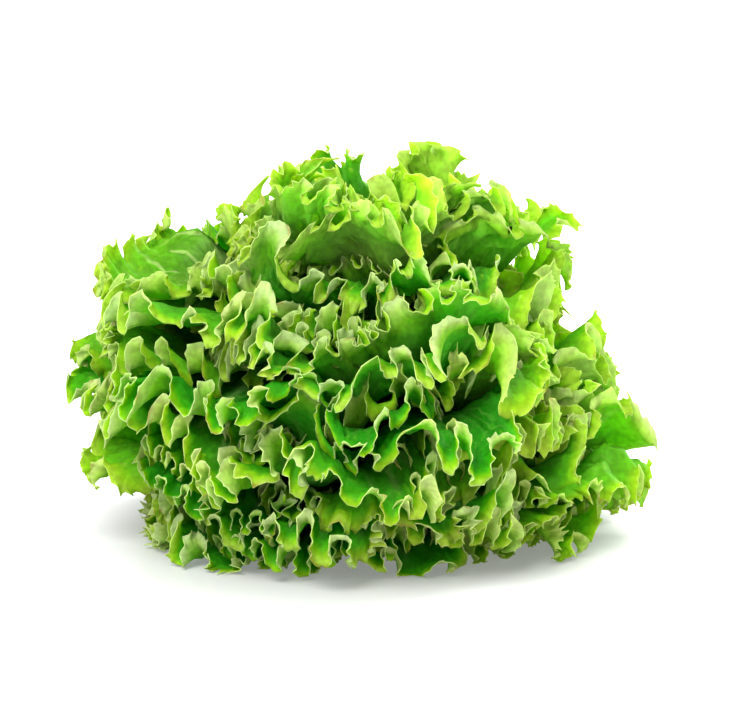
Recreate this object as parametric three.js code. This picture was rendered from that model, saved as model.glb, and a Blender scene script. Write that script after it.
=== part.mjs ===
// Head of frilly green leaf lettuce, standing on its cut stem end.
//
// Frame: millimetres, +Z up, +X to the right and +Y to the back. The origin is
// the centre of the flat cut face under the stem.
//
// The head is a short tapered stem with its leaves set on it in a spiral. Each
// leaf is a fan: a narrow rib at the stem that spreads into a wide blade with a
// ruffled rim. All leaves lie on one nested family of trumpet-shaped surfaces
// about the stem's axis, the first one upright round the heart and the last
// one spread on the ground, so neighbouring leaves never pass through each
// other. Each leaf and the stem is one closed solid.

import * as THREE from "three";

// ---------------------------------------------------------------- dimensions
const LEAVES = 58;              // leaves on the stem, from the heart outwards
const TURN_DEG = 137.508;       // angle from one leaf to the next
const FIRST_DEG = 62;           // direction of the innermost leaf

const STEM_HEIGHT = 62;         // cut face to growing tip
const STEM_RADIUS = 15.5;       // just above the cut
const STEM_SIDES = 20;
const SEAT_GAP = 0.5;           // clearance between a leaf base and the stem

const BLADE_MM = 0.7;           // blade thickness at the rim
const RIB_MM = 1.6;             // thickness of the rib at the stem
const FLOOR_CLEAR = 1.0;        // least height of a leaf's middle above ground
const FLOOR_SOFT = 5.5;         // how gently a leaf levels out on the ground

// Length of a leaf for the elevation of its rim (degrees), seen in the four
// directions. The head is a lopsided mound: it leans out to the upper left and
// spreads low on the right.
const LEFT = [[-9, 88], [6, 98], [10, 109], [21, 130], [28, 141], [34, 145],
  [43, 148], [53, 146], [59, 132], [66, 134], [76, 134], [88, 132]];
const RIGHT = [[-6, 104], [0, 110], [11, 119], [21, 115], [28, 113], [37, 115],
  [43, 110], [55, 115], [64, 126], [70, 128], [76, 132], [88, 133]];
const FRONT = [[-6, 84], [0, 92], [10, 101], [20, 107], [30, 111], [45, 116],
  [60, 123], [75, 133], [88, 135]];
const BACK = [[-6, 88], [0, 96], [10, 104], [20, 110], [30, 115], [45, 121],
  [60, 130], [75, 136], [88, 135]];
// Leaf by leaf: how long it grew against its neighbours.
const TRIM = [
  0.84, 0.91, 0.88, 0.86, 0.90, 0.93, 0.70, 1.01, 0.85, 0.62, 0.94, 0.83, 0.90, 1.04,
  0.68, 0.89, 1.03, 0.84, 0.92, 0.97, 0.96, 1.01, 0.93, 0.91, 1.00, 1.00, 0.82, 0.95,
  0.98, 0.99, 1.00, 0.83, 1.02, 1.00, 1.01, 0.92, 0.83, 1.00, 1.00, 0.92, 0.87, 0.95,
  1.00, 0.84, 0.90, 0.99, 1.02, 1.02, 0.88, 0.91, 1.00, 0.90, 0.84, 1.00, 0.79, 1.00,
  0.96, 0.72,
];

const DEG = Math.PI / 180;
const clamp = (x, a, b) => Math.min(b, Math.max(a, x));
const mix = (a, b, t) => a + (b - a) * t;
const smooth = (a, b, x) => {
  const t = clamp((x - a) / (b - a), 0, 1);
  return t * t * (3 - 2 * t);
};
// A repeatable number from 0 to 1 for leaf k.
const chance = (k, salt) => {
  const s = Math.sin(k * 12.9898 + salt * 78.233) * 43758.5453;
  return s - Math.floor(s);
};
function along(table, x) {
  if (x <= table[0][0]) return table[0][1];
  for (let i = 1; i < table.length; i++)
    if (x <= table[i][0]) {
      const [x0, y0] = table[i - 1], [x1, y1] = table[i];
      return mix(y0, y1, (x - x0) / (x1 - x0));
    }
  return table[table.length - 1][1];
}

// ---------------------------------------------------------------------- stem
function stemRadius(z) {
  const t = clamp(z / STEM_HEIGHT, 0, 1);
  return STEM_RADIUS * Math.pow(1 - Math.pow(t, 2.2), 0.62) + 0.9 * Math.exp(-z / 3);
}

function makeStem() {
  const profile = [new THREE.Vector2(0, 0), new THREE.Vector2(STEM_RADIUS - 0.6, 0)];
  for (const z of [0.8, 4, 10, 18, 26, 34, 42, 49, 55, 59.5])
    profile.push(new THREE.Vector2(stemRadius(z), z));
  profile.push(new THREE.Vector2(0, STEM_HEIGHT));
  const g = new THREE.LatheGeometry(profile, STEM_SIDES);
  g.rotateX(Math.PI / 2); // lathe axis to +Z
  return g;
}

// -------------------------------------------------------------------- leaves
// How a leaf surface rises. share is 0 at the heart and 1 at the outermost.
const riseAtStem = (share) => 88 - 90 * Math.pow(share, 1.2);
const riseAtRim = (share) => 84 - 93 * Math.pow(share, 0.8);
const seatHeight = (share) => mix(57, 8, Math.pow(share, 0.9));
const reach = (share) => 138 - 30 * share;

// The whole head sags to the front and right and is lifted at the upper left.
function sag(azimuth) {
  const c = Math.cos(azimuth), s = Math.sin(azimuth);
  return 2.2 - 1.2 * s + 1.6 * c + 2.2 * Math.sin(3 * azimuth + 0.6);
}

function envelope(rise, heading) {
  const c = Math.cos(heading * DEG), s = Math.sin(heading * DEG);
  return c * c * along(c > 0 ? RIGHT : LEFT, rise) + s * s * along(s > 0 ? BACK : FRONT, rise);
}

// Everything that makes leaf k different from the others.
function leafFacts(k) {
  const share = (k + 0.5) / LEAVES;
  const heading = (FIRST_DEG + k * TURN_DEG + 9 * (chance(k, 1) - 0.5)) % 360;
  const rise = riseAtRim(share);
  let length = envelope(rise, heading) * (0.96 + 0.08 * chance(k, 2));
  length *= TRIM[k];
  const young = 1 - smooth(0.02, 0.4, share);
  const lift = 1.6 * (chance(k, 4) - 0.5); // each leaf strays a little
  return {
    k,
    share,
    lift,
    heading,
    length,
    halfWidth: length * mix(0.96, 0.6, young) * (0.95 + 0.12 * chance(k, 3)),
    wrap: mix(80, 70, young) * DEG,
    ruffle: mix(2.8, 0.6, young) * mix(1, 0.6, smooth(0.85, 1, share)),
    columns: 14,
    rows: k < 20 ? 6 : 5,
    phase: k % 2,
  };
}

// Radius and height of a leaf surface at a distance along the leaf.
function meridian(f, d, azimuth) {
  const { share } = f;
  const z0 = seatHeight(share);
  const lean = Math.pow(clamp(d / reach(share), 0, 1.35), 1.3);
  const middling = Math.pow(Math.max(0, Math.cos(azimuth - f.heading * DEG)), 3);
  const e = (mix(riseAtStem(share), riseAtRim(share), lean) + (f.lift * middling - sag(azimuth)) * lean) * DEG;
  const r0 = stemRadius(z0) + SEAT_GAP + RIB_MM * 0.5 * Math.sin(e);
  return [r0 + d * Math.cos(e), z0 + d * Math.sin(e)];
}

// Flat outline: u from -1 to 1 across the leaf, q from 0 at the stem to 1 at
// the rim. Veins start side by side in the rib and spread like a fan.
function flatLeaf(f, u, q) {
  const L = f.length;
  const w0 = Math.min(8.2, f.halfWidth * 0.3) * mix(0.55, 1, smooth(0, 0.35, f.share));
  const psi = u * 124 * DEG;
  const centre = 0.62 * L;
  const top = Math.cos(psi);
  const rimX = f.halfWidth * Math.sin(psi);
  const rimY = centre + 0.38 * L * Math.sign(top) * Math.pow(Math.abs(top), top > 0 ? 0.45 : 1);
  const out = u * 96 * DEG;
  const c1 = [u * w0 * 1.35, 0.33 * L];
  const c2 = [rimX - 0.26 * L * Math.sin(out), rimY - 0.26 * L * Math.cos(out)];
  const p = 1 - q;
  const b0 = p * p * p, b1 = 3 * p * p * q, b2 = 3 * p * q * q, b3 = q * q * q;
  return [
    b0 * u * w0 + b1 * c1[0] + b2 * c2[0] + b3 * rimX,
    b1 * c1[1] + b2 * c2[1] + b3 * rimY,
  ];
}

// Levels a height out on the ground, in order, so leaves stay in their order.
const settle = (z) => FLOOR_CLEAR + FLOOR_SOFT * Math.log1p(Math.exp((z - FLOOR_CLEAR) / FLOOR_SOFT));

// The outer head is pushed about by a few slow waves, the same for all leaves.
// Each row: the wave (radians per mm along X, Y and Z), its phase, and the push.
const WAVES = [
  [0.071, 0.018, 0.000, 0.4, 0.6, -1.0, 4.6], [-0.033, 0.066, 0.010, 2.1, -0.8, 1.0, 4.4],
  [0.038, -0.058, 0.030, 4.0, 1.2, 1.4, -4.0], [-0.020, -0.030, 0.072, 5.2, 4.0, -1.6, 1.0],
  [0.012, 0.052, -0.064, 1.3, -3.6, 2.2, 0.8], [0.060, 0.030, 0.050, 3.3, 1.6, 3.6, 1.4]];

function push(p) {
  const move = new THREE.Vector3();
  for (const [kx, ky, kz, phase, ax, ay, az] of WAVES)
    move.addScaledVector(new THREE.Vector3(ax, ay, az), Math.sin(p.x * kx + p.y * ky + p.z * kz + phase));
  const r = Math.hypot(p.x, p.y, p.z - 35);
  return p.addScaledVector(move, smooth(32, 100, r) * smooth(0, 50, p.z));
}

// A point of the leaf's middle surface.
function leafPoint(f, u, q) {
  const [across, out] = flatLeaf(f, u, q);
  const middle = f.heading * DEG;
  const [r0] = meridian(f, Math.max(0, out), middle);
  const a = middle + f.wrap * Math.tanh(across / r0 / f.wrap);
  const [r, z] = meridian(f, Math.max(0, out), a);
  return new THREE.Vector3(r * Math.cos(a), r * Math.sin(a), z);
}

// Unit normal of the middle surface, pointing away from the heart.
function leafNormal(f, u, q) {
  const e = 1e-3;
  const u0 = Math.max(-1, u - e), u1 = Math.min(1, u + e);
  const q0 = Math.max(0, q - e), q1 = Math.min(1, q + e);
  const du = leafPoint(f, u1, q).sub(leafPoint(f, u0, q));
  const dq = leafPoint(f, u, q1).sub(leafPoint(f, u, q0));
  return du.cross(dq).normalize();
}

function makeLeaf(f) {
  const nu = f.columns, nq = f.rows;
  const outer = [], inner = [];
  for (let j = 0; j <= nq; j++) {
    const q = Math.pow(j / nq, 0.9);
    for (let i = 0; i <= nu; i++) {
      const u = (2 * i) / nu - 1;
      const p = leafPoint(f, u, q);
      const n = leafNormal(f, u, q);
      // Ruffle: every second column of the rim stands away from the heart,
      // less so low down, where the leaves lie close together.
      const room = mix(0.25, 1, smooth(0.3, 0.8, flatLeaf(f, u, q)[1] / f.length));
      p.addScaledVector(n, f.ruffle * room * smooth(0.6, 1, q) * ((i + f.phase) % 2));
      push(p);
      p.z = settle(p.z);
      const rib = Math.exp(-Math.pow(u / 0.3, 2)) * (1 - smooth(0.1, 0.95, q));
      const t = mix(BLADE_MM, RIB_MM, Math.max(rib, 0.5 * (1 - smooth(0, 0.3, q))));
      outer.push(p.clone().addScaledVector(n, t / 2));
      inner.push(p.clone().addScaledVector(n, -t / 2));
    }
  }
  const w = nu + 1, half = w * (nq + 1);
  const all = outer.concat(inner);
  const at = (i, j) => j * w + i;
  const index = [];
  const quad = (a, b, c, d) => index.push(a, b, c, a, c, d);
  for (let j = 0; j < nq; j++)
    for (let i = 0; i < nu; i++) {
      const a = at(i, j), b = at(i + 1, j), c = at(i + 1, j + 1), d = at(i, j + 1);
      quad(a, b, c, d);
      quad(half + a, half + d, half + c, half + b);
    }
  for (let i = 0; i < nu; i++) {
    quad(at(i, 0), half + at(i, 0), half + at(i + 1, 0), at(i + 1, 0));
    quad(at(i + 1, nq), half + at(i + 1, nq), half + at(i, nq), at(i, nq));
  }
  for (let j = 0; j < nq; j++) {
    quad(at(0, j + 1), half + at(0, j + 1), half + at(0, j), at(0, j));
    quad(at(nu, j), half + at(nu, j), half + at(nu, j + 1), at(nu, j + 1));
  }
  const g = new THREE.BufferGeometry();
  const flat = new Float32Array(all.length * 3);
  all.forEach((p, n) => p.toArray(flat, n * 3));
  g.setAttribute("position", new THREE.BufferAttribute(flat, 3));
  g.setIndex(index);
  g.computeVertexNormals();
  return g;
}

// --------------------------------------------------------------- scene graph
const lettuce = new THREE.Group();

const stem = new THREE.Mesh(
  makeStem(),
  new THREE.MeshStandardMaterial({ color: 0xd9dfae, roughness: 0.6, metalness: 0 }),
);
stem.name = "cut_stem";
lettuce.add(stem);

const heartGreen = new THREE.Color(0xb7d65a), outerGreen = new THREE.Color(0x5fae2c);
const two = (n) => String(n).padStart(2, "0");
for (let k = 0; k < LEAVES; k++) {
  const f = leafFacts(k);
  const leaf = new THREE.Mesh(
    makeLeaf(f),
    new THREE.MeshStandardMaterial({
      color: heartGreen.clone().lerp(outerGreen, f.share),
      roughness: 0.5,
      metalness: 0,
      side: THREE.DoubleSide,
    }),
  );
  leaf.name = k < 8 ? `heart_leaf_${two(k + 1)}`
    : k < 28 ? `middle_leaf_${two(k - 7)}`
      : `outer_leaf_${two(k - 27)}`;
  lettuce.add(leaf);
}

export default lettuce;
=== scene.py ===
import math

import bmesh
import bpy
import numpy as np
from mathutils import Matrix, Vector


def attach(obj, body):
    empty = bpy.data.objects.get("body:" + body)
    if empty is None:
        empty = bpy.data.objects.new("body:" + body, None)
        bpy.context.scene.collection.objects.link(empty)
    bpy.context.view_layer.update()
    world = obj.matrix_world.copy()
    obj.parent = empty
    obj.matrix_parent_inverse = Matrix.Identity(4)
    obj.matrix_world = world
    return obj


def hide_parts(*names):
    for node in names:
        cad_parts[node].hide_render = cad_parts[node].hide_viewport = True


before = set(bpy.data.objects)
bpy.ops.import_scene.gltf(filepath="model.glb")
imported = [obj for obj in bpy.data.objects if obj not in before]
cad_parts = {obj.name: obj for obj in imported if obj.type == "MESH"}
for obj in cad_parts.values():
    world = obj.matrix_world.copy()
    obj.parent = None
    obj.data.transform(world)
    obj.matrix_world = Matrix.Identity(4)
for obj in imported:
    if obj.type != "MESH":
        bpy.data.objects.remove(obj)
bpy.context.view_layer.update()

# ---------------------------------------------------------------- head layout
# The same numbers as the construction: millimetres, +Z up, origin at the centre
# of the cut face. Leaf k lies on one surface of a nested family about the stem.
LEAVES = 58
TURN_DEG = 137.508
FIRST_DEG = 62
STEM_HEIGHT = 62
STEM_RADIUS = 15.5
SEAT_GAP = 0.5
RIB_MM = 1.6
FLOOR_CLEAR = 1.0
FLOOR_SOFT = 5.5

LEFT = [[-9, 88], [6, 98], [10, 109], [21, 130], [28, 141], [34, 145],
        [43, 148], [53, 146], [59, 132], [66, 134], [76, 134], [88, 132]]
RIGHT = [[-6, 104], [0, 110], [11, 119], [21, 115], [28, 113], [37, 115],
         [43, 110], [55, 115], [64, 126], [70, 128], [76, 132], [88, 133]]
FRONT = [[-6, 84], [0, 92], [10, 101], [20, 107], [30, 111], [45, 116],
         [60, 123], [75, 133], [88, 135]]
BACK = [[-6, 88], [0, 96], [10, 104], [20, 110], [30, 115], [45, 121],
        [60, 130], [75, 136], [88, 135]]
# Leaf by leaf: how long it grew against its neighbours.
TRIM = [0.84, 0.91, 0.88, 0.86, 0.90, 0.93, 0.70, 1.01, 0.85, 0.62, 0.94, 0.83, 0.90, 1.04,
        0.68, 0.89, 1.03, 0.84, 0.92, 0.97, 0.96, 1.01, 0.93, 0.91, 1.00, 1.00, 0.82, 0.95,
        0.98, 0.99, 1.00, 0.83, 1.02, 1.00, 1.01, 0.92, 0.83, 1.00, 1.00, 0.92, 0.87, 0.95,
        1.00, 0.84, 0.90, 0.99, 1.02, 1.02, 0.88, 0.91, 1.00, 0.90, 0.84, 1.00, 0.79, 1.00,
        0.96, 0.72]
DEG = math.pi / 180


def mix(a, b, t):
    return a + (b - a) * t


def smooth(a, b, x):
    t = np.clip((np.asarray(x, float) - a) / (b - a), 0, 1)
    return t * t * (3 - 2 * t)


def chance(k, salt):
    s = math.sin(k * 12.9898 + salt * 78.233) * 43758.5453
    return s - math.floor(s)


def along(table, x):
    return float(np.interp(x, [p[0] for p in table], [p[1] for p in table]))


def stem_radius(z):
    t = np.clip(np.asarray(z, float) / STEM_HEIGHT, 0, 1)
    return STEM_RADIUS * (1 - t ** 2.2) ** 0.62 + 0.9 * np.exp(-np.asarray(z, float) / 3)


def rise_at_stem(share):
    return 88 - 90 * share ** 1.2


def rise_at_rim(share):
    return 84 - 93 * share ** 0.8


def seat_height(share):
    return mix(57, 8, share ** 0.9)


def reach(share):
    return 138 - 30 * share


def sag(azimuth):
    c, s = np.cos(azimuth), np.sin(azimuth)
    return 2.2 - 1.2 * s + 1.6 * c + 2.2 * np.sin(3 * azimuth + 0.6)


def envelope(rise, heading):
    c, s = math.cos(heading * DEG), math.sin(heading * DEG)
    return (c * c * along(RIGHT if c > 0 else LEFT, rise)
            + s * s * along(BACK if s > 0 else FRONT, rise))


class Leaf:
    def __init__(self, k):
        self.k = k
        self.share = (k + 0.5) / LEAVES
        self.heading = (FIRST_DEG + k * TURN_DEG + 9 * (chance(k, 1) - 0.5)) % 360
        rise = rise_at_rim(self.share)
        length = envelope(rise, self.heading) * (0.96 + 0.08 * chance(k, 2))
        length *= TRIM[k]
        self.lift = 1.6 * (chance(k, 4) - 0.5)
        young = 1 - float(smooth(0.02, 0.4, self.share))
        self.young = young
        self.length = length
        self.half_width = length * mix(0.96, 0.6, young) * (0.95 + 0.12 * chance(k, 3))
        self.wrap = mix(80, 70, young) * DEG
        if k < 8:
            self.node = "heart_leaf_%02d" % (k + 1)
            self.slot = "heart_leaf_tissue"
        elif k < 28:
            self.node = "middle_leaf_%02d" % (k - 7)
            self.slot = "middle_leaf_tissue"
        else:
            self.node = "outer_leaf_%02d" % (k - 27)
            self.slot = "outer_leaf_tissue"

    def meridian(self, d, azimuth):
        share = self.share
        z0 = seat_height(share)
        lean = np.clip(d / reach(share), 0, 1.35) ** 1.3
        middling = np.maximum(0, np.cos(azimuth - self.heading * DEG)) ** 3
        e = (mix(rise_at_stem(share), rise_at_rim(share), lean)
             + (self.lift * middling - sag(azimuth)) * lean) * DEG
        r0 = stem_radius(z0) + SEAT_GAP + RIB_MM * 0.5 * np.sin(e)
        return r0 + d * np.cos(e), z0 + d * np.sin(e)

    def flat(self, u, q):
        L = self.length
        w0 = min(8.2, self.half_width * 0.3) * mix(0.55, 1, float(smooth(0, 0.35, self.share)))
        psi = u * 124 * DEG
        rim_x = self.half_width * np.sin(psi)
        top = np.cos(psi)
        rim_y = 0.62 * L + 0.38 * L * np.sign(top) * np.abs(top) ** np.where(top > 0, 0.45, 1.0)
        out = u * 96 * DEG
        c1x, c1y = u * w0 * 1.35, 0.33 * L
        c2x = rim_x - 0.26 * L * np.sin(out)
        c2y = rim_y - 0.26 * L * np.cos(out)
        p = 1 - q
        b0, b1, b2, b3 = p ** 3, 3 * p * p * q, 3 * p * q * q, q ** 3
        return (b0 * u * w0 + b1 * c1x + b2 * c2x + b3 * rim_x,
                b1 * c1y + b2 * c2y + b3 * rim_y)

    def point(self, u, q):
        """The middle surface, for arrays u and q: (..., 3) in millimetres."""
        across, out = self.flat(u, q)
        out = np.maximum(0, out)
        mid = self.heading * DEG
        r0, _ = self.meridian(out, mid)
        a = mid + self.wrap * np.tanh(across / r0 / self.wrap)
        r, z = self.meridian(out, a)
        z = FLOOR_CLEAR + FLOOR_SOFT * np.logaddexp(0, (z - FLOOR_CLEAR) / FLOOR_SOFT)
        return np.stack([r * np.cos(a), r * np.sin(a), z], -1)

    def surface(self, u, q):
        return warp(self.point(u, q))


# ------------------------------------------------------------------ small maths
def unit(v):
    return v / (np.linalg.norm(v, axis=-1, keepdims=True) + 1e-12)


def blur(a, width):
    """Gaussian blur along the last axis, edges mirrored. width in samples."""
    n = max(1, int(round(width * 3)))
    x = np.arange(-n, n + 1)
    g = np.exp(-0.5 * (x / max(width, 1e-6)) ** 2)
    g /= g.sum()
    a = np.atleast_2d(a)
    padded = np.concatenate([a[:, n:0:-1], a, a[:, -2:-n - 2:-1]], axis=1)
    f = np.fft.rfft(padded, axis=1)
    m = padded.shape[1]
    kernel = np.zeros(m)
    kernel[:n + 1] = g[n:]
    kernel[-n:] = g[:n]
    out = np.fft.irfft(f * np.fft.rfft(kernel), m, axis=1)
    return out[:, n:n + a.shape[1]]


def wander(rng, x, step):
    """Smooth noise of unit size along x, with features about step long."""
    n = int((x[-1] - x[0]) / step) + 6
    v = rng.normal(0, 1, n)
    t = (x - x[0]) / step + 1.0
    i = np.floor(t).astype(int)
    f = t - i
    a, b, c, d = v[i - 1], v[i], v[i + 1], v[np.minimum(i + 2, n - 1)]
    return 0.5 * ((2 * b) + (c - a) * f + (2 * a - 5 * b + 4 * c - d) * f ** 2
                  + (3 * b - a - 3 * c + d) * f ** 3)


def waves(rng, x, middle, spread, zones=0.0):
    """A phase that grows by half a turn per lobe; lobes are about middle long,
    uneven by spread, and come in stretches of large and small ones."""
    total = x[-1] - x[0]
    slow = wander(rng, x, 70.0)
    ends = [0.0]
    while ends[-1] < total + 4 * middle:
        size = np.interp(ends[-1], x - x[0], slow)
        ends.append(ends[-1] + middle * float(np.clip(np.exp(rng.normal(0, spread) + zones * size), 0.6, 1.75)))
    ends = np.array(ends)
    phase = np.arange(len(ends)) * math.pi
    raw = np.interp(x - x[0], ends, phase) + rng.uniform(0, 2 * math.pi)
    return blur(raw, 0.3 * middle / (x[1] - x[0]))[0]


WARP = [((0.071, 0.018, 0.000), 0.4, (0.6, -1.0, 4.6)), ((-0.033, 0.066, 0.010), 2.1, (-0.8, 1.0, 4.4)),
        ((0.038, -0.058, 0.030), 4.0, (1.2, 1.4, -4.0)), ((-0.020, -0.030, 0.072), 5.2, (4.0, -1.6, 1.0)),
        ((0.012, 0.052, -0.064), 1.3, (-3.6, 2.2, 0.8)), ((0.060, 0.030, 0.050), 3.3, (1.6, 3.6, 1.4))]


def warp(p):
    """A slow wander of the outer head, shared by all leaves, in millimetres."""
    move = np.zeros_like(p)
    for k, phase, amp in WARP:
        move += np.sin(p @ np.array(k) + phase)[..., None] * np.array(amp)
    r = np.sqrt(p[..., 0] ** 2 + p[..., 1] ** 2 + (p[..., 2] - 35.0) ** 2)
    weight = smooth(32, 100, r) * smooth(0, 50, p[..., 2])
    return p + move * weight[..., None]


# The margins slump and heave together over a few centimetres, up and down most of all.
HEAVE = [((0.118, 0.030, 0.020), 1.1, (0.4, 0.8, 3.0)), ((-0.052, 0.104, 0.034), 3.0, (1.0, 0.6, 3.0)),
         ((0.090, -0.072, 0.048), 5.3, (0.8, -0.8, 2.6)), ((0.026, 0.112, -0.060), 0.2, (-0.8, 1.0, 2.6)),
         ((-0.110, -0.034, 0.066), 2.4, (1.2, 0.6, 2.2)), ((0.062, 0.058, 0.098), 4.1, (1.6, 1.6, 1.2))]


def heave(p):
    move = np.zeros_like(p)
    for k, phase, amp in HEAVE:
        move += np.sin(p @ np.array(k) + phase)[..., None] * np.array(amp)
    r = np.sqrt(p[..., 0] ** 2 + p[..., 1] ** 2 + (p[..., 2] - 35.0) ** 2)
    weight = smooth(50, 92, r) * smooth(8, 46, p[..., 2])
    return p + move * weight[..., None]


# A frill that would come up through the blade above it is pressed down there.
PRESSED = {36: ((55, -93, 72), 9.0, (0, 1.5, -5))}


# ------------------------------------------------------------------------ leaf
# Distance of each row of points from the rim, and how many columns it skips.
ROWS = [0.0, 0.9, 2.2, 3.8, 5.8, 8.2, 11.0, 14.5, 18.5, 23.0, 28.0, 34.0, 41.0, 50.0, 62.0, 78.0]
SKIPS = [1, 1, 2, 2, 2, 4, 4, 4, 4, 8, 8, 8, 8, 8, 8, 8]


FANS = (11, 14, 19)   # leaves seen from inside, with bold pale side ribs


def leaf_style(leaf):
    """How this leaf is frilled: millimetres and radians."""
    k = leaf.k
    s = {
        "flare": 96 * DEG, "spread": 0.34,
        "lobe": mix(6.0, 9.3, chance(k, 13)) * (1 - 0.2 * float(smooth(0.3, 1.0, math.cos((leaf.heading - 215) * DEG)))), "zones": 0.16, "neck": 0.80,
        "second": 0.85, "third": 0.25, "crinkle": 0.3 + 0.8 * chance(k, 12) ** 1.2,
        "swell": 5.5, "curl": 4.0 * (chance(k, 11) - 0.5), "tooth": 1.35,
        "tooth_step": 4.6, "most": 792,
        "ragged": float(smooth(-0.1, 0.8, math.cos((leaf.heading - 35) * DEG))),
    }
    if k < 8:
        s.update(flare=92 * DEG, lobe=6.2, swell=4.8, crinkle=0.5 + 0.5 * chance(k, 12), tooth=1.0,
                 tooth_step=5.2, most=540)
    if k in FANS:
        s.update(crinkle=1.0, lobe=6.0, swell=4.0)
    return s


def build_leaf(leaf):
    st = leaf_style(leaf)
    rng = np.random.default_rng(1000 + 17 * leaf.k)
    # Length of the vein lines and of the rim, on the unruffled leaf.
    uu = np.linspace(-1, 1, 241)
    qq = np.linspace(0, 1, 61)
    U, Q = np.meshgrid(uu, qq, indexing="ij")
    P = leaf.surface(U, Q)
    vein = np.linalg.norm(np.diff(P, axis=1), axis=-1).sum(1)
    rim_step = np.linalg.norm(np.diff(P[:, -1], axis=0), axis=-1)
    rim_len = np.concatenate([[0], np.cumsum(rim_step)])
    total = rim_len[-1]
    vein_mid = vein[120]

    nx = 2401
    x = np.linspace(0, total, nx)
    dx = x[1] - x[0]
    u_x = np.interp(x, rim_len, uu)
    vein_x = np.interp(u_x, uu, vein)
    edge = smooth(0, 0.05, 1 - np.abs(u_x))

    rows = [(d, s) for d, s in zip(ROWS, SKIPS) if d < vein_mid - 9] + [(vein_mid, 8)]
    q_rows = np.array([1 - d / vein_mid for d, _ in rows])
    q_rows[-1] = 0.0
    skips = [s for _, s in rows]
    nrow = len(rows)
    D = (1 - q_rows)[:, None] * vein_x[None, :]

    # The unruffled surface and its frame: along the rim, outwards, and normal.
    B = np.empty((nrow, nx, 3))
    O = np.empty_like(B)
    e = 2e-3
    for j, q in enumerate(q_rows):
        qj = np.full(nx, q)
        B[j] = leaf.surface(u_x, qj)
        O[j] = unit(leaf.surface(u_x, qj + e) - leaf.surface(u_x, np.maximum(qj - e, 0)))
    T = np.gradient(B, axis=1)
    contour = np.clip(blur(np.linalg.norm(T, axis=-1) / dx, 30), 0.02, 1.2)
    T = unit(T)
    N = unit(np.cross(T, O))

    # First frill: the margin is bent over, to one side and then the other.
    phi = waves(rng, x, st["lobe"], st["spread"], st["zones"])
    turn = np.maximum(np.gradient(phi, dx), 0.05)
    lobe = blur(math.pi / turn, 2.0 / dx)[0]
    lean = st["flare"] * np.clip(1 + 0.2 * wander(rng, x, 18) + 0.22 * wander(rng, x, 8), 0.35, 1.4) * edge
    side = np.sin(phi) + 0.4 * wander(rng, x, 34)
    decay = (2.2 + 0.38 * lobe) * np.clip(1 + 0.18 * wander(rng, x, 24), 0.6, 1.6)
    deep = np.arange(0, 61.0)
    bend = lean * side * (0.84 * np.exp(-(deep[:, None] / decay) ** 1.2) + 0.16 * np.exp(-deep[:, None] / 16.0))
    bend = np.clip(bend, -135 * DEG, 135 * DEG)

    def from_inside(f):
        f = 0.5 * (f[1:] + f[:-1])
        out = np.zeros((len(deep), nx))
        out[:-1] = np.cumsum(f[::-1], axis=0)[::-1]
        return out

    def at_depth(table):
        i = np.clip(D, 0, deep[-1] - 1e-6)
        lo = i.astype(int)
        f = i - lo
        c = np.arange(nx)[None, :]
        return table[lo, c] * (1 - f) + table[lo + 1, c] * f

    h1 = at_depth(from_inside(np.sin(bend)))
    back = at_depth(from_inside(1 - np.cos(bend)))
    neck = st["neck"] * np.clip(1 + 0.3 * wander(rng, x, 15), 0.2, 1.5)
    t1 = -neck / turn * np.sin(2 * phi) * np.exp(-(D / 7.5) ** 1.3) * edge

    # Long folds of the whole margin, and a slow wander of its outline.
    phi0 = waves(rng, x, 26.0, 0.3)
    fold = st["swell"] * np.clip(1 + 0.35 * wander(rng, x, 50), 0.3, 1.7) * np.exp(-(D / 32) ** 1.3) * edge * contour
    h0 = fold * np.sin(phi0)
    t0 = -0.2 * fold * np.sin(2 * phi0)
    hc = st["curl"] * np.clip((26 - D) / 26, 0, 1) ** 2 * edge
    lobes = (0.075 * np.clip(wander(rng, x, 32), -1.6, 1.2) + 0.035 * wander(rng, x, 14)) * vein_x * np.exp(-(D / 32) ** 2)
    grow = lobes - back + 2.5 * np.exp(-(D / 20) ** 2)
    # Blisters of the blade between the veins.
    blade = np.zeros_like(D)
    for i in range(7):
        a, b = rng.uniform(0.25, 0.62), rng.uniform(-0.5, 0.5)
        blade += np.sin(a * x[None, :] * contour + b * D + rng.uniform(0, 6.3))
    hb = mix(0.55, 0.95, leaf.young) * blade * smooth(4, 14, D) * smooth(0, 22, vein_mid - D) * edge
    P1 = B + N * (h1 + h0 + hc + hb)[..., None] + T * (t1 + t0)[..., None] + O * grow[..., None]

    # Second and third frills stand on the first.
    def normals(p):
        along_rim = np.gradient(p, axis=1)
        outward = np.empty_like(p)
        outward[0] = p[0] - p[1]
        outward[1:-1] = p[:-2] - p[2:]
        outward[-1] = p[-2] - p[-1]
        return unit(np.cross(along_rim, outward)), unit(outward)

    n1, _ = normals(P1)
    run = np.concatenate([[0], np.cumsum(np.linalg.norm(np.diff(P1[0], axis=0), axis=-1))])
    even = np.linspace(0, run[-1], nx)
    patch = np.interp(run, even, smooth(-0.2, 1.4, wander(rng, even, 55))) * st["crinkle"]
    phi2 = np.interp(run, even, waves(rng, even, 4.0, 0.3))
    phi3 = np.interp(run, even, waves(rng, even, 2.3, 0.2))
    size2 = np.interp(run, even, np.clip(1 + 0.5 * wander(rng, even, 9), 0.1, 2.0))
    h2 = (st["second"] + 2.1 * patch) * size2 * np.sin(phi2) * np.exp(-(D / (3.0 + 3.0 * patch)) ** 1.2)
    h3 = (st["third"] + 0.9 * patch) * np.sin(phi3) * np.exp(-(D / 1.7) ** 1.2)
    P2 = heave(P1 + n1 * ((h2 + h3) * edge)[..., None])

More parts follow.
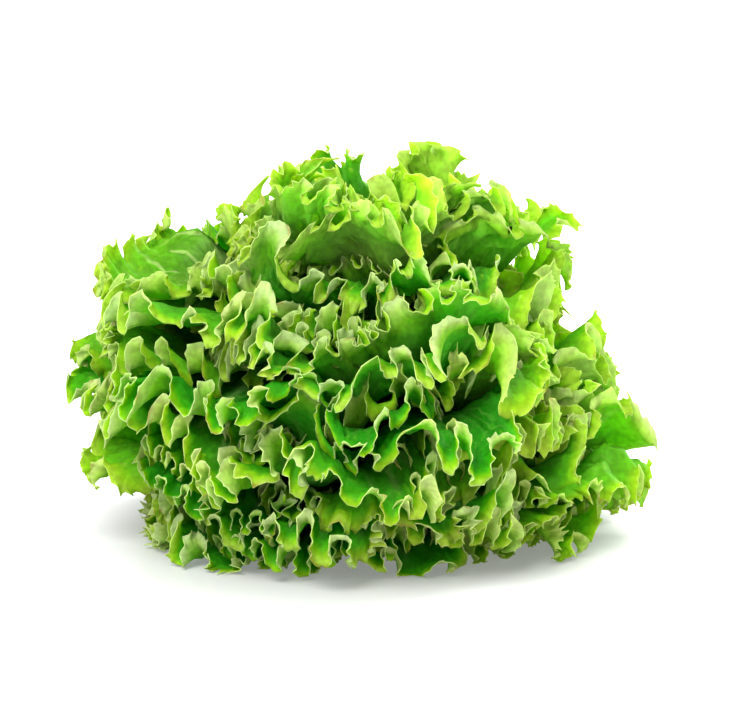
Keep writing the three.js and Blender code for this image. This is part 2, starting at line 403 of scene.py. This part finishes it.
    # Teeth: sharp tips with hollow arcs between them, four columns to a tooth.
    _, o2 = normals(P2)
    run2 = np.concatenate([[0], np.cumsum(np.linalg.norm(np.diff(P2[0], axis=0), axis=-1))])
    step = max(st["tooth_step"], run2[-1] / (st["most"] / 4))
    count = int(run2[-1] / step)
    count -= count % 2
    gaps = np.clip(rng.gamma(3.0, 1 / 3.0, count), 0.35, 2.4)
    tips = np.concatenate([[0], np.cumsum(gaps)])
    tips *= run2[-1] / tips[-1]
    size = st["tooth"] * np.clip(np.exp(rng.normal(-0.2, 0.8, count + 1)), 0.08, 3.0)
    size *= 0.42 + 0.4 * st["ragged"] + 0.8 * np.interp(tips, run2, patch)
    size[[0, -1]] = 0
    frac = np.array([0, 0.21, 0.5, 0.79])
    s_col = (tips[:-1, None] + np.diff(tips)[:, None] * frac).ravel()
    shape = 1 - np.sin(math.pi * frac) ** 0.75
    weight = np.where(frac < 0.5, 1 - frac, frac)
    near = np.where(frac[None, :] < 0.5, size[:-1, None], size[1:, None])
    near = np.where(frac[None, :] == 0.5, 0, near)
    gaps_mm = np.diff(tips)[:, None]
    tooth = (near * shape * np.clip(gaps_mm / 5.0, 0.6, 1.3)).ravel()
    s_col = np.append(s_col, run2[-1])
    tooth = np.append(tooth, 0)
    x_col = np.interp(s_col, run2, x)

    verts, attr, counts, starts = [], [], [], []
    for j in range(nrow):
        xc = x_col[::skips[j]]
        pick = lambda a: np.interp(xc, x, a)
        p = np.stack([pick(P2[j, :, c]) for c in range(3)], -1)
        if j < 2:
            o = np.stack([pick(o2[0, :, c]) for c in range(3)], -1)
            p = p + o * ((tooth - 0.35 * st["tooth"]) * (1.0 if j == 0 else 0.4) * pick(edge))[:, None]
        starts.append(sum(counts))
        counts.append(len(xc))
        verts.append(p)
        attr.append(np.stack([np.interp(xc, x, u_x), np.full(len(xc), q_rows[j]), pick(D[j]),
                              pick(x + 0.6 * (run - x) * np.exp(-(D[j] / 12) ** 2)), pick(patch),
                              pick(contour[j] / np.maximum(np.gradient(u_x, dx), 1e-4))], -1))
    V = np.concatenate(verts)
    if leaf.k in PRESSED:
        spot, size_mm, move = PRESSED[leaf.k]
        near_spot = np.exp(-(np.linalg.norm(V - np.array(spot), axis=1) / size_mm) ** 2)
        V = V + near_spot[:, None] * np.array(move)
    # What hangs below the surface the head stands on lies down on it.
    V[:, 2] = 0.8 + 2.0 * np.logaddexp(0, (V[:, 2] - 0.8) / 2.0)
    A = np.concatenate(attr)
    faces = []
    for j in range(nrow - 1):
        a0, na = starts[j], counts[j]
        b0, nb = starts[j + 1], counts[j + 1]
        if na == nb:
            i = np.arange(na - 1)
            faces += np.stack([a0 + i, b0 + i, b0 + i + 1, a0 + i + 1], -1).tolist()
        else:
            for i in range(nb - 1):
                a = a0 + 2 * i
                faces.append((a, b0 + i, a + 1))
                faces.append((a + 1, b0 + i, b0 + i + 1))
                faces.append((a + 1, b0 + i + 1, a + 2))
    return V, A, faces, starts, counts


def thicken(leaf, V, A, faces, starts, counts):
    """Front and back skins either side of the middle surface; make_leaf_object joins them with a rim into one closed
    solid.
    """
    tri = np.array([(f[0], f[1], f[2]) if len(f) == 3 else (f[0], f[1], f[2]) for f in faces])
    quads = np.array([f for f in faces if len(f) == 4])
    tris = np.array([f for f in faces if len(f) == 3])
    N = np.zeros_like(V)
    qn = np.cross(V[quads[:, 2]] - V[quads[:, 0]], V[quads[:, 3]] - V[quads[:, 1]])
    for c in range(4):
        np.add.at(N, quads[:, c], qn)
    if len(tris):
        tn = np.cross(V[tris[:, 1]] - V[tris[:, 0]], V[tris[:, 2]] - V[tris[:, 0]])
        for c in range(3):
            np.add.at(N, tris[:, c], tn)
    N = unit(N)
    u, q, d = A[:, 0], A[:, 1], A[:, 2]
    across, _ = leaf.flat(u, q)
    rib_w = mix(2.0, 7.0, (1 - q) ** 1.4)
    rib = np.exp(-(across / rib_w) ** 2) * smooth(1.0, 0.1, q) ** 1.3
    rib_t = rib * mix(1.0, 4.2, (1 - q) ** 1.6) * mix(0.5, 1, float(smooth(0.05, 0.4, leaf.share)))
    blade = 0.42 + 0.5 * smooth(0.5, 0.0, q)
    blade = blade * mix(0.75, 1, smooth(0, 1.2, d))
    front = V + N * (0.5 * blade + 0.25 * rib_t)[:, None]
    back = V - N * (0.5 * blade + 0.75 * rib_t)[:, None]
    return front, back, N, rib


def tone_and_backlight(leaf):
    """Painted backlight: the leaves at the back and the right are painted the palest and yellowest, as if lit
    through from behind; a random part is the leaf's own tone.
    """
    lit = max(float(smooth(0.1, 0.9, math.cos((leaf.heading - 8) * DEG))),
              0.8 * float(smooth(0.75, 1.0, math.cos((leaf.heading - 150) * DEG))))
    return float(np.clip(0.85 * lit * (0.6 + 0.5 * chance(leaf.k, 23)) + 0.25 * chance(leaf.k, 24), 0, 1))


def make_leaf_object(leaf, material):
    V, A, faces, starts, counts = build_leaf(leaf)
    front, back, N, rib = thicken(leaf, V, A, faces, starts, counts)
    nv = len(V)
    verts = np.concatenate([front, back]) * 0.001
    verts[:, 2] = np.maximum(verts[:, 2], 0.0003)
    # The furthest tips curl in a little, so that none stands far proud of the solid model.
    for axis, start, give in ((0, 0.126, 0.012), (0, -0.134, 0.011), (1, 0.122, 0.010), (1, -0.120, 0.011), (2, 0.177, 0.011)):
        over = verts[:, axis] * math.copysign(1, start) - abs(start)
        far = over > 0
        verts[far, axis] = math.copysign(1, start) * (abs(start) + give * np.tanh(over[far] / give))
    all_faces = [tuple(f) for f in faces]
    all_faces += [tuple(nv + i for i in reversed(f)) for f in faces]
    skins = len(all_faces)
    # Rim, base and the two sides.
    n0 = counts[0]
    for i in range(n0 - 1):
        all_faces.append((i, i + 1, nv + i + 1, nv + i))
    b0, nb = starts[-1], counts[-1]
    for i in range(nb - 1):
        all_faces.append((b0 + i + 1, b0 + i, nv + b0 + i, nv + b0 + i + 1))
    for j in range(len(starts) - 1):
        a, b = starts[j], starts[j + 1]
        all_faces.append((b, a, nv + a, nv + b))
        a, b = starts[j] + counts[j] - 1, starts[j + 1] + counts[j + 1] - 1
        all_faces.append((a, b, nv + b, nv + a))
    mesh = bpy.data.meshes.new(leaf.node + "_visual")
    mesh.from_pydata(verts.tolist(), [], all_faces)
    mesh.update()
    A2 = np.concatenate([A, A])
    outside = np.concatenate([np.ones(nv), np.zeros(nv)])

    def put(name, values):
        at = mesh.attributes.new(name, "FLOAT", "POINT")
        at.data.foreach_set("value", np.ascontiguousarray(values, dtype=np.float32))

    put("rim_depth", A2[:, 2])
    put("rim_run", A2[:, 3])
    put("leaf_u", A2[:, 0])
    put("crinkle", A2[:, 4])
    put("vein_gap", A2[:, 5])
    put("rib", np.concatenate([rib, rib]))
    put("outer_side", outside)
    put("leaf_tone", np.full(2 * nv, chance(leaf.k, 21)))
    # Per-leaf paleness: painted backlight on the leaves at the back and the right, plus random tone.
    put("leaf_pallor_backlight", np.full(2 * nv, tone_and_backlight(leaf)))
    put("bold_veins", np.full(2 * nv, 1.0 if leaf.k in FANS else 0.3 * chance(leaf.k, 22)))
    # UV map for the bake: the two skins side by side, the rim zone largest. The
    # faces between the skins have a narrow strip of their own at the top.
    uvl = mesh.uv_layers.new(name="OFBake")
    loops = np.empty(len(mesh.loops), dtype=np.int32)
    mesh.loops.foreach_get("vertex_index", loops)
    is_back = loops >= nv
    li = np.where(is_back, loops - nv, loops)
    uu = (A[li, 0] * 0.5 + 0.5) * 0.485 + 0.005 + np.where(is_back, 0.5, 0.0)
    vv = (1 - (1 - A[li, 1]) ** 0.6) * 0.95 + 0.005
    ends = np.array([f.loop_start for f in mesh.polygons[skins:skins + 1]])[0]
    strip = np.arange(len(loops)) >= ends
    uu = np.where(strip, (A[li, 0] * 0.5 + 0.5) * 0.97 + 0.01, uu)
    vv = np.where(strip, np.where(is_back, 0.992, 0.972), vv)
    uvl.data.foreach_set("uv", np.stack([uu, vv], -1).astype(np.float32).ravel())
    mesh.polygons.foreach_set("use_smooth", np.ones(len(mesh.polygons), dtype=bool))
    mesh.materials.append(material)
    obj = bpy.data.objects.new(leaf.node + "_visual", mesh)
    bpy.context.scene.collection.objects.link(obj)
    return obj


# ------------------------------------------------------------------- materials
def node(nt, kind, **props):
    n = nt.nodes.new(kind)
    for key, value in props.items():
        setattr(n, key, value)
    return n


def leaf_material(name, inner, outer, glow, translucency):
    """inner and outer: colours of the two sides from the rim inwards."""
    m = bpy.data.materials.new(name)
    m.use_nodes = True
    nt = m.node_tree
    nt.nodes.clear()
    link = nt.links.new
    out = node(nt, "ShaderNodeOutputMaterial")
    bsdf = node(nt, "ShaderNodeBsdfPrincipled")
    bsdf.inputs["Specular IOR Level"].default_value = 0.12
    trans = node(nt, "ShaderNodeBsdfTranslucent")
    mixer = node(nt, "ShaderNodeMixShader")
    mixer.inputs[0].default_value = translucency
    link(bsdf.outputs[0], mixer.inputs[1])
    link(trans.outputs[0], mixer.inputs[2])
    link(mixer.outputs[0], out.inputs[0])

    def attr(name):
        n = node(nt, "ShaderNodeAttribute")
        n.attribute_name = name
        return n.outputs["Fac"]

    def maths(op, a, b=None, c=None, clamp=False):
        n = node(nt, "ShaderNodeMath", operation=op, use_clamp=clamp)
        for i, v in enumerate((a, b, c)):
            if v is None:
                continue
            if isinstance(v, (int, float)):
                n.inputs[i].default_value = v
            else:
                link(v, n.inputs[i])
        return n.outputs[0]

    def ramp(fac, stops, interp="LINEAR"):
        n = node(nt, "ShaderNodeValToRGB")
        n.color_ramp.interpolation = interp
        els = n.color_ramp.elements
        while len(els) < len(stops):
            els.new(0.5)
        for e, (pos, col) in zip(els, stops):
            e.position = pos
            e.color = (*col, 1)
        link(fac, n.inputs[0])
        return n.outputs[0]

    def blend(fac, a, b, kind="MIX"):
        n = node(nt, "ShaderNodeMix", data_type="RGBA", blend_type=kind)
        if isinstance(fac, (int, float)):
            n.inputs[0].default_value = fac
        else:
            link(fac, n.inputs[0])
        for i, v in ((6, a), (7, b)):
            if isinstance(v, tuple):
                n.inputs[i].default_value = (*v, 1)
            else:
                link(v, n.inputs[i])
        return n.outputs[2]

    def tinted(colour, by):
        return blend(1.0, colour, by, "MULTIPLY")

    # Pale yellow-green that the pale leaves are washed towards: painted backlight, plus some random tone.
    pale_backlight_tint = srgb(168, 214, 44)

    def between(value, low, high):
        n = node(nt, "ShaderNodeMapRange", interpolation_type="SMOOTHSTEP")
        link(value, n.inputs["Value"])
        n.inputs["From Min"].default_value = low
        n.inputs["From Max"].default_value = high
        return n.outputs["Result"]

    depth, run = attr("rim_depth"), attr("rim_run")
    rib, outside = attr("rib"), attr("outer_side")
    leaf_u, gap = attr("leaf_u"), attr("vein_gap")
    tone_of_leaf, bold, pale = attr("leaf_tone"), attr("bold_veins"), attr("leaf_pallor_backlight")
    coords = node(nt, "ShaderNodeCombineXYZ")
    link(run, coords.inputs[0])
    link(depth, coords.inputs[1])
    coord = node(nt, "ShaderNodeTexCoord")

    tone = node(nt, "ShaderNodeTexNoise")
    tone.inputs["Scale"].default_value = 60
    tone.inputs["Detail"].default_value = 2
    link(coord.outputs["Object"], tone.inputs["Vector"])
    fleck = node(nt, "ShaderNodeTexNoise")
    fleck.inputs["Scale"].default_value = 480
    fleck.inputs["Detail"].default_value = 1
    link(coord.outputs["Object"], fleck.inputs["Vector"])

    # Side veins: lines from the rib that spread like a fan, forking once.
    def fan(count, shift, width, start, stop, waver=1.6):
        wave = maths("MULTIPLY_ADD", leaf_u, count, shift)
        wave = maths("ADD", wave, maths("MULTIPLY", tone.outputs["Fac"], waver))
        off = maths("ABSOLUTE", maths("SUBTRACT", maths("FRACT", wave), 0.5))
        mm = maths("DIVIDE", maths("MULTIPLY", off, gap), count)
        line = maths("SUBTRACT", 1.0, between(mm, width * 0.35, width))
        return maths("MULTIPLY", line, between(depth, start, stop))

    veins = maths("MAXIMUM", fan(7.0, 0.2, 1.1, 8.0, 26.0),
                  maths("MULTIPLY", fan(15.0, 0.7, 0.75, 4.0, 15.0), 0.75))
    coarse = fan(7.0, 0.2, 1.1, 8.0, 26.0, 0.0)
    # The net between them, in leaf millimetres.
    stretch = node(nt, "ShaderNodeVectorMath", operation="MULTIPLY")
    link(coords.outputs[0], stretch.inputs[0])
    stretch.inputs[1].default_value = (0.30, 0.16, 1)
    wob = node(nt, "ShaderNodeTexNoise")
    wob.inputs["Scale"].default_value = 0.9
    link(stretch.outputs[0], wob.inputs["Vector"])
    bent = node(nt, "ShaderNodeVectorMath", operation="MULTIPLY_ADD")
    link(wob.outputs["Color"], bent.inputs[0])
    bent.inputs[1].default_value = (0.6, 0.6, 0.6)
    link(stretch.outputs[0], bent.inputs[2])
    cells = node(nt, "ShaderNodeTexVoronoi", feature="DISTANCE_TO_EDGE")
    cells.inputs["Scale"].default_value = 1.0
    link(bent.outputs[0], cells.inputs["Vector"])
    net = maths("SUBTRACT", 1.0, between(cells.outputs[0], 0.02, 0.12))
    fine = node(nt, "ShaderNodeTexVoronoi", feature="DISTANCE_TO_EDGE")
    fine.inputs["Scale"].default_value = 3.1
    link(bent.outputs[0], fine.inputs["Vector"])
    net2 = maths("SUBTRACT", 1.0, between(fine.outputs[0], 0.02, 0.14))
    web = maths("MAXIMUM", net, maths("MULTIPLY", net2, 0.5))
    web = maths("MULTIPLY", web, between(depth, 0.5, 6.0))
    lines = maths("MAXIMUM", veins, maths("MULTIPLY", web, 0.55))

    # Colour by depth: a thin pale rim line, partly a painted highlight, a light margin, deep green inside. The deep
    # green inside is partly the leaf's own colour and partly painted shade of the head's shadowed interior.
    wander_in = maths("MULTIPLY_ADD", maths("SUBTRACT", tone.outputs["Fac"], 0.5), 7.0, depth)
    wander_in = maths("MULTIPLY_ADD", maths("SUBTRACT", tone_of_leaf, 0.5), 5.0, wander_in)
    # Painted backlight: on the pale, backlit leaves the light margin colours reach further in.
    wander_in = maths("MULTIPLY", wander_in, maths("MULTIPLY_ADD", pale, -0.55, 1.0))
    depth_tone_and_shade = maths("DIVIDE", maths("MAXIMUM", wander_in, 1.2), 40.0, clamp=True)
    places = [0.0, 0.065, 0.15, 0.29, 1.0]
    colour_in = ramp(depth_tone_and_shade, list(zip(places, inner[1:])))
    colour_out = ramp(depth_tone_and_shade, list(zip([0.0, 0.09, 0.20, 0.38, 1.0], outer[1:])))
    base = blend(outside, colour_in, colour_out)
    vein_colour = (0.50, 0.74, 0.20)
    base = blend(maths("MULTIPLY", lines, 0.24), base, vein_colour)
    ribs = maths("MULTIPLY", fan(12.0, 0.35, 1.7, 8.0, 20.0, 0.25), bold)
    base = blend(maths("MULTIPLY", ribs, 0.8), base, (0.50, 0.68, 0.28))
    foot = maths("MULTIPLY", between(depth, 26.0, 66.0), between(bold, 0.3, 1.0))
    base = blend(maths("MULTIPLY", foot, 0.75), base, (0.56, 0.72, 0.36))
    base = blend(maths("MULTIPLY", rib, 0.9), base, (0.60, 0.74, 0.34))
    # The thin pale rim line: partly pale tissue, partly a painted highlight along the edge.
    rim_line_and_highlight = maths("SUBTRACT", 1.0, between(depth, 0.1, 0.55))
    base = blend(maths("MULTIPLY", rim_line_and_highlight, 0.62), base, outer[0])
    patches = node(nt, "ShaderNodeTexNoise")
    patches.inputs["Scale"].default_value = 24
    patches.inputs["Detail"].default_value = 1
    link(coord.outputs["Object"], patches.inputs["Vector"])
    # Yellow patches: random tone, plus painted backlight on the back and right leaves.
    yellow = maths("MULTIPLY_ADD", between(patches.outputs["Fac"], 0.4, 0.66), 0.45, maths("MULTIPLY", pale, 0.8))
    shallow = maths("SUBTRACT", 1.0, maths("MULTIPLY", between(depth, 8.0, 26.0), 0.65))
    base = blend(maths("MULTIPLY", yellow, shallow), base, tinted(base, (1.3, 1.04, 0.9)))
    # Painted backlight: pale leaves are washed towards pale yellow-green.
    base = blend(maths("MULTIPLY", pale, maths("MULTIPLY_ADD", shallow, 0.12, 0.34)), base, pale_backlight_tint)
    mottle = node(nt, "ShaderNodeTexNoise")
    mottle.inputs["Scale"].default_value = 300
    mottle.inputs["Detail"].default_value = 1
    link(coord.outputs["Object"], mottle.inputs["Vector"])
    cloud = between(mottle.outputs["Fac"], 0.36, 0.64)
    rust = node(nt, "ShaderNodeTexNoise")
    rust.inputs["Scale"].default_value = 75
    rust.inputs["Detail"].default_value = 0
    link(coord.outputs["Object"], rust.inputs["Vector"])
    speck = maths("MULTIPLY", between(rust.outputs["Fac"], 0.70, 0.74), maths("SUBTRACT", 1.0, between(depth, 0.4, 2.2)))
    base = blend(maths("MULTIPLY", speck, 0.55), base, srgb(158, 98, 46))
    shade = maths("MULTIPLY_ADD", fleck.outputs["Fac"], 0.26, maths("MULTIPLY_ADD", cloud, 0.18, 0.76))
    base = blend(1.0, base, combine(nt, link, shade), "MULTIPLY")
    link(base, bsdf.inputs["Base Color"])

    # The translucent colour darkens inwards by the same depth ramp: partly the leaf's own colour, partly painted
    # shade.
    through = ramp(depth_tone_and_shade, list(zip(places, glow[1:])))
    # Painted backlight in the translucent colour as well.
    through = blend(maths("MULTIPLY", pale, 0.65), through, mix3(glow[2], glow[3], 0.4))
    through = blend(maths("MULTIPLY", lines, 0.4), through, glow[4])
    through = blend(maths("MULTIPLY", ribs, 0.6), through, glow[1])
    # Painted rim highlight in the translucent colour too, on top of the pale tissue.
    through = blend(maths("MULTIPLY", rim_line_and_highlight, 0.5), through, glow[0])
    through = blend(0.8, through, combine(nt, link, shade), "MULTIPLY")
    link(through, trans.inputs["Color"])

    rough = maths("MULTIPLY_ADD", fleck.outputs["Fac"], 0.25, 0.4)
    link(rough, bsdf.inputs["Roughness"])
    bump = node(nt, "ShaderNodeBump")
    bump.inputs["Strength"].default_value = 0.5
    bump.inputs["Distance"].default_value = 0.0006
    pucker = node(nt, "ShaderNodeTexNoise")
    pucker.inputs["Scale"].default_value = 190
    pucker.inputs["Detail"].default_value = 1
    link(coord.outputs["Object"], pucker.inputs["Vector"])
    height = maths("MULTIPLY_ADD", fleck.outputs["Fac"], 0.35, maths("MULTIPLY", coarse, -0.9))
    height = maths("MULTIPLY_ADD", pucker.outputs["Fac"], 1.6, height)
    link(height, bump.inputs["Height"])
    link(bump.outputs[0], bsdf.inputs["Normal"])
    link(bump.outputs[0], trans.inputs["Normal"])
    return m


def mix3(a, b, t):
    return tuple(x + (y - x) * t for x, y in zip(a, b))


def combine(nt, link, value):
    n = nt.nodes.new("ShaderNodeCombineColor")
    for i in range(3):
        link(value, n.inputs[i])
    return n.outputs[0]


def srgb(r, g, b):
    def lin(c):
        c /= 255
        return c / 12.92 if c <= 0.04045 else ((c + 0.055) / 1.055) ** 2.4
    return (lin(r), lin(g), lin(b))


# Rim line (pale tissue and a painted highlight), then the colour at 0, 3, 7, 13 and 40 mm from the rim. The
# darkening to deep green inwards is partly the leaf's own colour and partly painted shade.
INNER = [srgb(224, 236, 156), srgb(194, 216, 106), srgb(148, 198, 22), srgb(58, 168, 0), srgb(4, 146, 0), srgb(2, 124, 0)]
OUTER = [srgb(226, 236, 190), srgb(208, 222, 180), srgb(188, 215, 118), srgb(122, 194, 16), srgb(30, 158, 0), srgb(8, 134, 0)]
GLOW = [srgb(216, 236, 100), srgb(196, 218, 62), srgb(172, 212, 12), srgb(116, 204, 0), srgb(44, 186, 0), srgb(18, 164, 0)]


def lighter(colours, target, t):
    return [mix3(c, target, t) for c in colours]


mat_heart = leaf_material("heart_leaf_tissue", lighter(INNER, srgb(196, 226, 84), 0.4),
                          lighter(OUTER, srgb(206, 232, 120), 0.4), lighter(GLOW, srgb(210, 242, 60), 0.4), 0.6)
mat_middle = leaf_material("middle_leaf_tissue", lighter(INNER, srgb(180, 216, 60), 0.08),
                           lighter(OUTER, srgb(196, 226, 110), 0.08), lighter(GLOW, srgb(200, 240, 40), 0.08), 0.56)
mat_outer = leaf_material("outer_leaf_tissue", INNER, OUTER, GLOW, 0.56)

leaf_materials = {"heart_leaf_tissue": mat_heart, "middle_leaf_tissue": mat_middle, "outer_leaf_tissue": mat_outer}

total_tris = 0
for k in range(LEAVES):
    leaf = Leaf(k)
    obj = make_leaf_object(leaf, leaf_materials[leaf.slot])
    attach(obj, "root")
    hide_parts(leaf.node)
    total_tris += sum(len(p.vertices) - 2 for p in obj.data.polygons)
print("leaf triangles", total_tris)

# ------------------------------------------------------------------------ stem


def stem_material():
    """Pale green flesh with long fibres; the cut end has gone brown-pink."""
    m = bpy.data.materials.new("stem_flesh")
    m.use_nodes = True
    nt = m.node_tree
    link = nt.links.new
    bsdf = nt.nodes["Principled BSDF"]
    coord = node(nt, "ShaderNodeTexCoord")
    split = node(nt, "ShaderNodeSeparateXYZ")
    link(coord.outputs["Object"], split.inputs[0])

    def maths(op, a, b=None, clamp=False):
        n = node(nt, "ShaderNodeMath", operation=op, use_clamp=clamp)
        for i, v in enumerate((a, b)):
            if v is None:
                continue
            if isinstance(v, (int, float)):
                n.inputs[i].default_value = v
            else:
                link(v, n.inputs[i])
        return n.outputs[0]

    def ramp(fac, stops):
        n = node(nt, "ShaderNodeValToRGB")
        els = n.color_ramp.elements
        while len(els) < len(stops):
            els.new(0.5)
        for e, (pos, col) in zip(els, stops):
            e.position = pos
            e.color = (*col, 1)
        link(fac, n.inputs[0])
        return n.outputs[0]

    def blend(fac, a, b, kind="MIX"):
        n = node(nt, "ShaderNodeMix", data_type="RGBA", blend_type=kind)
        if isinstance(fac, (int, float)):
            n.inputs[0].default_value = fac
        else:
            link(fac, n.inputs[0])
        link(a, n.inputs[6])
        link(b, n.inputs[7])
        return n.outputs[2]

    def noise(scale, detail, stretch=None):
        n = node(nt, "ShaderNodeTexNoise")
        n.inputs["Scale"].default_value = scale
        n.inputs["Detail"].default_value = detail
        if stretch:
            v = node(nt, "ShaderNodeVectorMath", operation="MULTIPLY")
            link(coord.outputs["Object"], v.inputs[0])
            v.inputs[1].default_value = stretch
            link(v.outputs[0], n.inputs["Vector"])
        else:
            link(coord.outputs["Object"], n.inputs["Vector"])
        return n.outputs["Fac"]

    radius = maths("SQRT", maths("ADD", maths("MULTIPLY", split.outputs[0], split.outputs[0]),
                                 maths("MULTIPLY", split.outputs[1], split.outputs[1])))
    blot = noise(260, 4)
    fibre = noise(420, 3, (1, 1, 0.12))
    # The cut face: pale pith, a brown ring of vessels, pinkish flesh outside.
    ring = maths("ADD", maths("DIVIDE", radius, 0.0165), maths("MULTIPLY", maths("SUBTRACT", blot, 0.5), 0.22))
    face = ramp(ring, [(0.0, srgb(222, 196, 158)), (0.42, srgb(206, 168, 130)), (0.62, srgb(160, 98, 72)),
                       (0.72, srgb(190, 132, 100)), (1.0, srgb(158, 102, 74))])
    height = node(nt, "ShaderNodeMapRange", interpolation_type="SMOOTHSTEP")
    link(maths("ADD", split.outputs[2], maths("MULTIPLY", blot, 0.0022)), height.inputs["Value"])
    height.inputs["From Min"].default_value = 0.0014
    height.inputs["From Max"].default_value = 0.0042
    side = ramp(maths("DIVIDE", split.outputs[2], 0.062),
                [(0.0, srgb(214, 200, 150)), (0.12, srgb(222, 226, 172)), (0.6, srgb(214, 228, 150)), (1.0, srgb(190, 218, 110))])
    base = blend(height.outputs["Result"], face, side)
    streak = ramp(fibre, [(0.3, (0.78, 0.80, 0.70)), (0.7, (1.0, 1.0, 1.0))])
    base = blend(0.7, base, streak, "MULTIPLY")
    link(base, bsdf.inputs["Base Color"])
    link(maths("ADD", maths("MULTIPLY", blot, 0.3), 0.3), bsdf.inputs["Roughness"])
    bump = node(nt, "ShaderNodeBump")
    bump.inputs["Strength"].default_value = 0.5
    bump.inputs["Distance"].default_value = 0.0005
    link(maths("ADD", fibre, maths("MULTIPLY", blot, 0.7)), bump.inputs["Height"])
    link(bump.outputs[0], bsdf.inputs["Normal"])
    return m


stem_mat = stem_material()


def build_stem():
    rng = np.random.default_rng(5)
    n = 96
    a = np.linspace(0, 2 * math.pi, n, endpoint=False)
    zs = [0.0, 0.15, 0.6, 1.4, 2.5, 4, 6, 8, 10, 13, 16, 19, 22, 26, 30, 34, 38, 42, 46, 50, 54, 57, 59.5, 61.2]
    verts = []
    rings = []
    # Cut face, slightly dished, then the side.
    for fr in (0.15, 0.3, 0.5, 0.7, 0.86):
        r = (STEM_RADIUS - 0.6) * fr
        ring = [(r * math.cos(t), r * math.sin(t), 0.5 * (1 - fr ** 4) + 0.12 * math.sin(3 * t + 9 * fr)) for t in a]
        rings.append(ring)
    for z in zs:
        r = float(stem_radius(z)) - (0.6 if z == 0 else 0.15 if z < 0.3 else 0)
        ring = []
        for t in a:
            scar = 0.35 * math.sin(5 * t + z * 0.9) + 0.25 * math.sin(11 * t - z * 0.6)
            rr = r - 0.25 + (scar * min(1, z / 3)) * 0.5
            ring.append((rr * math.cos(t), rr * math.sin(t), z))
        rings.append(ring)
    verts = [v for ring in rings for v in ring]
    faces = []
    for j in range(len(rings) - 1):
        for i in range(n):
            i2 = (i + 1) % n
            faces.append((j * n + i, j * n + i2, (j + 1) * n + i2, (j + 1) * n + i))
    c0 = len(verts)
    verts.append((0, 0, 0.55))
    c1 = len(verts)
    verts.append((0, 0, STEM_HEIGHT - 0.2))
    last = (len(rings) - 1) * n
    for i in range(n):
        i2 = (i + 1) % n
        faces.append((c0, i2, i))
        faces.append((c1, last + i, last + i2))
    mesh = bpy.data.meshes.new("cut_stem_visual")
    mesh.from_pydata([(x * 0.001, y * 0.001, z * 0.001) for x, y, z in verts], [], faces)
    mesh.polygons.foreach_set("use_smooth", np.ones(len(mesh.polygons), dtype=bool))
    mesh.materials.append(stem_mat)
    o = bpy.data.objects.new("cut_stem_visual", mesh)
    bpy.context.scene.collection.objects.link(o)
    return o


stem = build_stem()
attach(stem, "root")
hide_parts("cut_stem")

# ----------------------------------------------------------------------- stage
floor_mesh = bpy.data.meshes.new("floor")
bm = bmesh.new()
ring_before = None
centre = bm.verts.new((0, 0, 0))
for reach_m, rise_m in [(2.8, 0.0), (3.2, 0.04), (3.5, 0.14), (3.7, 0.3), (3.8, 0.55), (3.82, 1.0)]:
    ring = [bm.verts.new((reach_m * math.cos(i * math.pi / 48), reach_m * math.sin(i * math.pi / 48), rise_m)) for i in range(96)]
    for i in range(96):
        n = (i + 1) % 96
        if ring_before is None:
            bm.faces.new((centre, ring[i], ring[n]))
        else:
            bm.faces.new((ring_before[i], ring[i], ring[n], ring_before[n]))
    ring_before = ring
for f in bm.faces:
    f.smooth = True
bm.to_mesh(floor_mesh)
bm.free()
floor = bpy.data.objects.new("floor", floor_mesh)
bpy.context.scene.collection.objects.link(floor)
fm = bpy.data.materials.new("floor")
fm.use_nodes = True
fb = fm.node_tree.nodes["Principled BSDF"]
fb.inputs["Roughness"].default_value = 0.4
fb.inputs["Emission Strength"].default_value = 0.6
# Painted shade: the floor's base colour and emission are lower close to the head, so that with less bounce there its
# soft shadow shows.
place = node(fm.node_tree, "ShaderNodeTexCoord")
away = node(fm.node_tree, "ShaderNodeVectorMath", operation="LENGTH")
fm.node_tree.links.new(place.outputs["Object"], away.inputs[0])
for socket, near, far in (("Base Color", 0.4, 0.8), ("Emission Color", 0.42, 1.0)):
    painted_floor_shade = node(fm.node_tree, "ShaderNodeMapRange", interpolation_type="SMOOTHSTEP")
    for k, v in zip(("From Min", "From Max", "To Min", "To Max"), (0.1, 0.23, near, far)):
        painted_floor_shade.inputs[k].default_value = v
    fm.node_tree.links.new(away.outputs["Value"], painted_floor_shade.inputs["Value"])
    fm.node_tree.links.new(painted_floor_shade.outputs["Result"], fb.inputs[socket])
floor_mesh.materials.append(fm)

world = bpy.data.worlds.new("world")
bpy.context.scene.world = world
world.use_nodes = True
bg = world.node_tree.nodes["Background"]
bg.inputs[0].default_value = (1, 1, 1, 1)
bg.inputs[1].default_value = 0.75


def area(name, loc, target, size, power, colour=(1, 1, 1)):
    data = bpy.data.lights.new(name, "AREA")
    data.shape = "RECTANGLE"
    data.size, data.size_y = size
    data.energy = power
    data.color = colour
    o = bpy.data.objects.new(name, data)
    bpy.context.scene.collection.objects.link(o)
    o.location = loc
    o.rotation_euler = (Vector(target) - Vector(loc)).to_track_quat("-Z", "Y").to_euler()
    return o


area("key", (-0.45, -0.95, 1.25), (0, 0, 0.08), (0.9, 0.9), 41)
area("back", (0.85, 0.7, 0.75), (0, 0, 0.1), (0.8, 0.8), 37)

# ---------------------------------------------------------------------- camera
cam_data = bpy.data.cameras.new("camera")
cam = bpy.data.objects.new("camera", cam_data)
bpy.context.scene.collection.objects.link(cam)
bpy.context.scene.camera = cam
DIST = 1.6
EL = 11.0 * DEG
FRAME_W = 0.3431
cam_data.sensor_width = 36
cam_data.lens = 36 * DIST / FRAME_W
aim = Vector((0.0, 0.0, 0.0819))
cam.location = aim + Vector((0, -math.cos(EL), math.sin(EL))) * DIST
cam.rotation_euler = (aim - cam.location).to_track_quat("-Z", "Y").to_euler()
cam_data.clip_start = 0.05

sc = bpy.context.scene
sc.view_settings.view_transform = "Standard"
sc.view_settings.look = "None"
sc.view_settings.exposure = 0.0
sc.view_settings.gamma = 0.92
